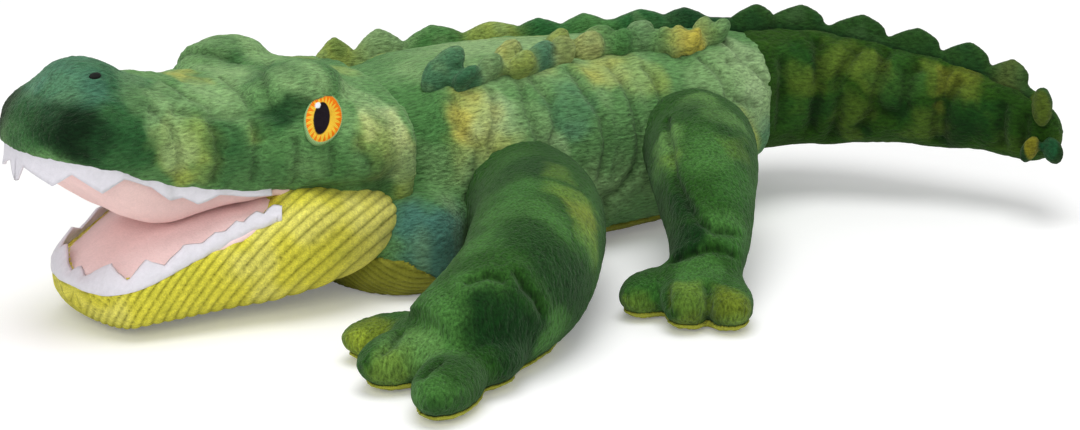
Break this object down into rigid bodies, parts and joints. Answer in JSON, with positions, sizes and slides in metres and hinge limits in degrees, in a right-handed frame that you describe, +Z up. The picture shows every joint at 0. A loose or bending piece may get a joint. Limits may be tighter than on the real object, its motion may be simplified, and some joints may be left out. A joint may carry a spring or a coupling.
{
  "type": "plush crocodile",
  "caption": "Stuffed plush crocodile lying on its belly, with an open mouth lined with felt teeth, spined back, splayed legs and a curled tail.",
  "frame": {"origin": "on the flat of the belly where the toy rests, midway across the body", "axes": "+X from the head towards the tail along the body, -Y to the toy's left side, +Z up"},
  "size_m": [0.4375, 0.3538, 0.1055],
  "materials": {
    "plush": "short pile, mottled green",
    "dark_plush": "short pile, dark green",
    "corduroy": "ribbed, lime",
    "lining": "smooth knit, pink",
    "felt": "felt, white",
    "sole": "short pile, yellow green",
    "fill": "loose fibre fill",
    "eye": "embroidery thread",
    "nostril": "embroidery thread"
  },
  "bodies": {
    "torso": {"body_skin": "plush", "belly_panel": "corduroy", "body_stuffing": "fill", "left_back_ridge": "dark_plush", "right_back_ridge": "dark_plush"},
    "head": {"head_skin": "plush", "head_stuffing": "fill", "throat_panel": "corduroy", "palate_lining": "lining", "upper_teeth": "felt", "left_eye": "eye", "right_eye": "eye", "left_nostril": "nostril", "right_nostril": "nostril"},
    "jaw": {"jaw_skin": "corduroy", "jaw_stuffing": "fill", "mouth_floor": "lining", "lower_teeth": "felt"},
    "left_front_leg": {"left_front_leg_skin": "plush", "left_front_leg_stuffing": "fill", "left_front_leg_sole": "sole"},
    "left_hind_leg": {"left_hind_leg_skin": "plush", "left_hind_leg_stuffing": "fill", "left_hind_leg_sole": "sole"},
    "right_front_leg": {"right_front_leg_skin": "plush", "right_front_leg_stuffing": "fill", "right_front_leg_sole": "sole"},
    "right_hind_leg": {"right_hind_leg_skin": "plush", "right_hind_leg_stuffing": "fill", "right_hind_leg_sole": "sole"},
    "tail_1": {"tail_1_skin": "dark_plush", "tail_1_stuffing": "fill", "tail_1_crest": "dark_plush"},
    "tail_2": {"tail_2_skin": "dark_plush", "tail_2_stuffing": "fill", "tail_2_crest": "dark_plush"},
    "tail_3": {"tail_3_skin": "dark_plush", "tail_3_stuffing": "fill", "tail_3_crest": "dark_plush"}
  },
  "joints": [
    {"name": "neck_turn", "type": "hinge", "parent": "torso", "child": "head", "pos_m": [-0.072, 0, 0.04], "axis": [0, 0, 1], "range_deg": [-20, 20], "stiffness_Nm_per_rad": 0.6},
    {"name": "jaw_open", "type": "hinge", "parent": "head", "child": "jaw", "pos_m": [-0.14488, -0.01285, 0.025], "axis": [0.1736, -0.9848, 0], "range_deg": [-20, 8], "stiffness_Nm_per_rad": 0.6},
    {"name": "left_front_leg_swing", "type": "hinge", "parent": "torso", "child": "left_front_leg", "pos_m": [-0.034, -0.0514, 0.03], "axis": [0, 1, 0], "range_deg": [-25, 25], "stiffness_Nm_per_rad": 0.4},
    {"name": "left_hind_leg_swing", "type": "hinge", "parent": "torso", "child": "left_hind_leg", "pos_m": [0.045, -0.0464, 0.04], "axis": [0, 1, 0], "range_deg": [-25, 12], "stiffness_Nm_per_rad": 0.4},
    {"name": "right_front_leg_swing", "type": "hinge", "parent": "torso", "child": "right_front_leg", "pos_m": [-0.034, 0.0514, 0.03], "axis": [0, 1, 0], "range_deg": [-25, 25], "stiffness_Nm_per_rad": 0.4},
    {"name": "right_hind_leg_swing", "type": "hinge", "parent": "torso", "child": "right_hind_leg", "pos_m": [0.045, 0.0464, 0.04], "axis": [0, 1, 0], "range_deg": [-25, 12], "stiffness_Nm_per_rad": 0.4},
    {"name": "tail_1_bend", "type": "hinge", "parent": "torso", "child": "tail_1", "pos_m": [0.11399, -0.00888, 0.046], "axis": [0, 0, 1], "range_deg": [-18, 18], "stiffness_Nm_per_rad": 0.3},
    {"name": "tail_2_bend", "type": "hinge", "parent": "tail_1", "child": "tail_2", "pos_m": [0.14599, -0.03603, 0.04473], "axis": [0, 0, 1], "range_deg": [-18, 18], "stiffness_Nm_per_rad": 0.3},
    {"name": "tail_3_bend", "type": "hinge", "parent": "tail_2", "child": "tail_3", "pos_m": [0.17184, -0.06771, 0.04165], "axis": [0, 0, 1], "range_deg": [-18, 18], "stiffness_Nm_per_rad": 0.3}
  ]
}
